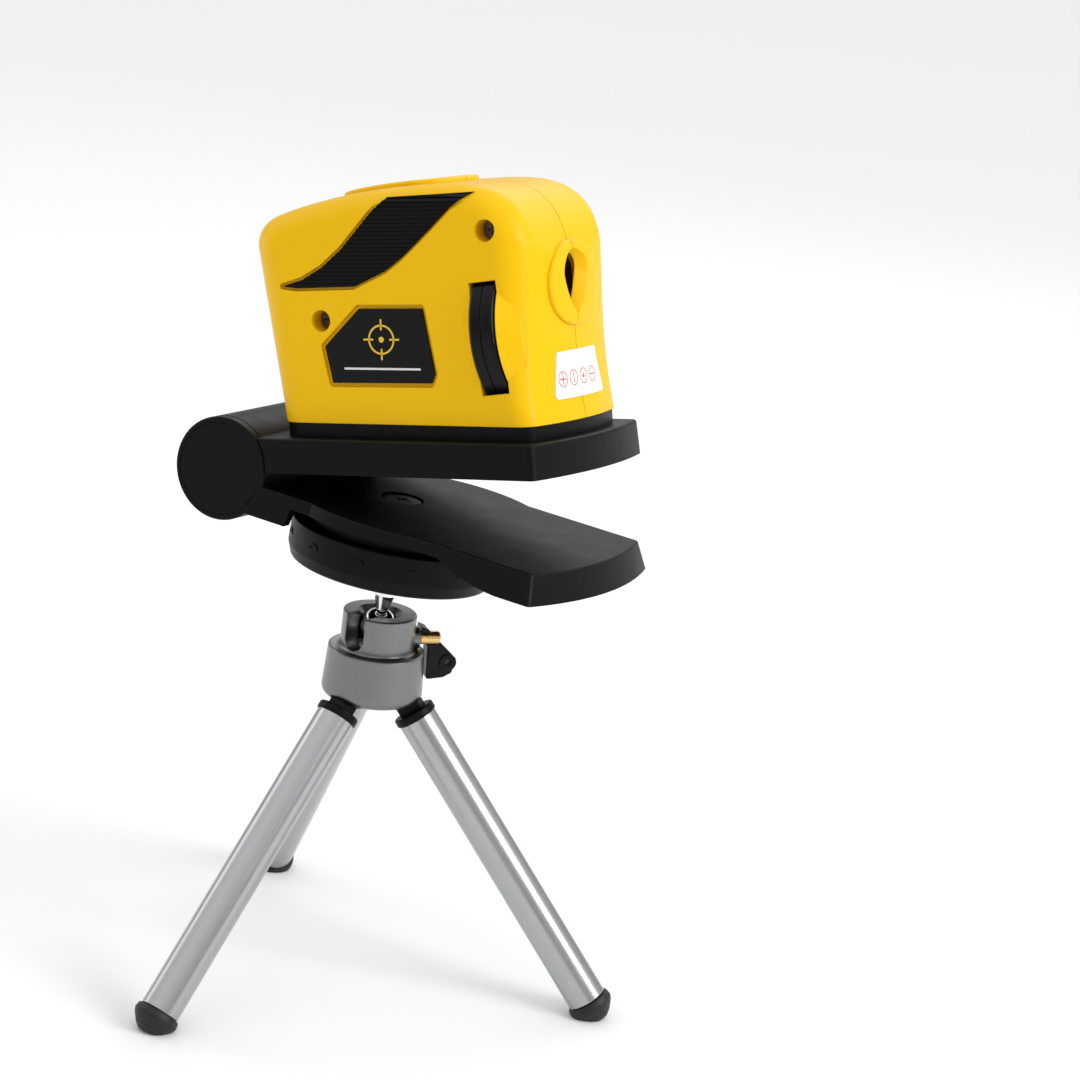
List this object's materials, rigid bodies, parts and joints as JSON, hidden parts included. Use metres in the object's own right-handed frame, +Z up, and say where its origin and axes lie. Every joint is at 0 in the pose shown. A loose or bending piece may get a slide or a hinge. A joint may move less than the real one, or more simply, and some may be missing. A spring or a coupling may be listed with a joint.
{
  "type": "laser level",
  "caption": "Yellow and black handheld laser level on a hinged turning base and a pocket tripod with telescoping legs.",
  "frame": {"origin": "centre of the bounding box on the floor plane", "axes": "+Z up from the floor, +X the way the laser beam points, +Y to the left seen from behind the beam"},
  "size_m": [0.1218, 0.1188, 0.2099],
  "materials": {
    "yellow_shell": "glossy moulded ABS, fine soft skin",
    "black_plastic": "satin moulded black ABS",
    "gloss_black": "glossy black",
    "label_white": "printed paper label",
    "cast_silver": "satin silver-grey die casting",
    "tube_aluminium": "satin anodised tube",
    "chrome": "polished plating",
    "brass": "turned brass",
    "steel": "zinc-plated steel",
    "foot_rubber": "black rubber",
    "nylon": "natural nylon",
    "lens_glass": "clear optical plastic",
    "tinted_window": "dark red-black filter",
    "vial_liquid": "green-yellow vial",
    "circuit_green": "solder mask",
    "cell_wrap": "printed foil sleeve"
  },
  "bodies": {
    "hub": {"hub_body": "cast_silver", "ball_seat": "nylon", "leg_pivot_pins": "steel"},
    "clamp": {"clamp_screw": "brass", "clamp_lever": "gloss_black"},
    "leg_left": {"leg_hinge_cap_left": "black_plastic", "leg_outer_tube_left": "tube_aluminium"},
    "leg_left_middle": {"leg_middle_tube_left": "tube_aluminium"},
    "leg_left_inner": {"leg_inner_tube_left": "tube_aluminium", "leg_foot_left": "foot_rubber"},
    "leg_right": {"leg_hinge_cap_right": "black_plastic", "leg_outer_tube_right": "tube_aluminium"},
    "leg_right_middle": {"leg_middle_tube_right": "tube_aluminium"},
    "leg_right_inner": {"leg_inner_tube_right": "tube_aluminium", "leg_foot_right": "foot_rubber"},
    "leg_rear": {"leg_hinge_cap_rear": "black_plastic", "leg_outer_tube_rear": "tube_aluminium"},
    "leg_rear_middle": {"leg_middle_tube_rear": "tube_aluminium"},
    "leg_rear_inner": {"leg_inner_tube_rear": "tube_aluminium", "leg_foot_rear": "foot_rubber"},
    "turntable": {"ball_stud": "chrome", "stud_pad": "foot_rubber", "thread_insert": "brass", "turntable_disc": "black_plastic", "turntable_pivot_screw": "gloss_black", "turntable_friction_ring": "nylon"},
    "base": {"lower_plate": "black_plastic", "hinge_bolt": "steel", "hinge_nut": "steel", "hinge_caps": "black_plastic", "hinge_washers": "steel"},
    "head": {"upper_plate": "black_plastic", "base_screws": "steel", "housing_base": "black_plastic", "housing_right": "yellow_shell", "housing_left": "yellow_shell", "housing_screws": "steel", "side_inlay_right": "black_plastic", "side_inlay_left": "black_plastic", "nameplate_right": "gloss_black", "nameplate_left": "gloss_black", "front_label": "label_white", "selector_axle": "steel", "inner_deck": "black_plastic", "laser_module": "brass", "collimator_lens": "lens_glass", "aperture_window": "tinted_window", "circuit_board": "circuit_green", "batteries": "cell_wrap", "battery_contacts": "steel", "vial_window": "lens_glass", "vial_tray": "nylon", "long_vial": "vial_liquid", "cross_vial": "vial_liquid"},
    "selector": {"selector_wheel": "gloss_black", "optic_cross": "lens_glass", "optic_dot": "lens_glass", "line_optics": "lens_glass"},
    "switch": {"power_switch": "black_plastic"},
    "door": {"battery_door": "yellow_shell"}
  },
  "joints": [
    {"name": "ball_swing", "type": "hinge", "parent": "hub", "child": "turntable", "pos_m": [-0.0067, 0.00997, 0.0932], "axis": [0.9781, -0.2079, 0], "range_deg": [-20, 70]},
    {"name": "turntable_pan", "type": "hinge", "parent": "turntable", "child": "base", "pos_m": [-0.00547, 0.01173, 0.12312], "axis": [0.041, 0.0586, 0.9974], "continuous": true},
    {"name": "plate_hinge", "type": "hinge", "parent": "base", "child": "head", "pos_m": [-0.04145, 0.01204, 0.12925], "axis": [0.0012, -0.9983, 0.0586], "range_deg": [-14.2, 75.8]},
    {"name": "selector_turn", "type": "hinge", "parent": "head", "child": "selector", "pos_m": [0.02365, 0.00834, 0.17579], "axis": [0.9519, 0.0191, 0.3059], "continuous": true},
    {"name": "power_slide", "type": "slide", "parent": "head", "child": "switch", "axis": [0.9787, 0.0132, 0.2049], "range_m": [0, 0.004]},
    {"name": "battery_door_hinge", "type": "hinge", "parent": "head", "child": "door", "pos_m": [-0.03516, 0.01377, 0.15861], "axis": [-0.0012, 0.9983, -0.0586], "range_deg": [0, 85]},
    {"name": "clamp_turn", "type": "hinge", "parent": "hub", "child": "clamp", "pos_m": [0.00353, 0.02094, 0.0904], "axis": [0.682, 0.7314, 0], "range_deg": [-45, 20]},
    {"name": "leg_left_fold", "type": "hinge", "parent": "hub", "child": "leg_left", "pos_m": [-0.00816, 0.00312, 0.07807], "axis": [0.9781, -0.2079, 0], "range_deg": [0, 37]},
    {"name": "leg_left_middle_slide", "type": "slide", "parent": "leg_left", "child": "leg_left_middle", "axis": [-0.1283, -0.6036, -0.7869], "range_m": [0, 0.07]},
    {"name": "leg_left_inner_slide", "type": "slide", "parent": "leg_left_middle", "child": "leg_left_inner", "axis": [-0.1283, -0.6036, -0.7869], "range_m": [0, 0.065]},
    {"name": "leg_right_fold", "type": "hinge", "parent": "hub", "child": "leg_right", "pos_m": [-0.00004, 0.01213, 0.07807], "axis": [-0.309, 0.9511, 0], "range_deg": [0, 37]},
    {"name": "leg_right_middle_slide", "type": "slide", "parent": "leg_right", "child": "leg_right_middle", "axis": [0.5868, 0.1907, -0.7869], "range_m": [0, 0.07]},
    {"name": "leg_right_inner_slide", "type": "slide", "parent": "leg_right_middle", "child": "leg_right_inner", "axis": [0.5868, 0.1907, -0.7869], "range_m": [0, 0.065]},
    {"name": "leg_rear_fold", "type": "hinge", "parent": "hub", "child": "leg_rear", "pos_m": [-0.01191, 0.01466, 0.07807], "axis": [-0.6691, -0.7431, 0], "range_deg": [0, 37]},
    {"name": "leg_rear_middle_slide", "type": "slide", "parent": "leg_rear", "child": "leg_rear_middle", "axis": [-0.4585, 0.4129, -0.7869], "range_m": [0, 0.07]},
    {"name": "leg_rear_inner_slide", "type": "slide", "parent": "leg_rear_middle", "child": "leg_rear_inner", "axis": [-0.4585, 0.4129, -0.7869], "range_m": [0, 0.065]}
  ]
}
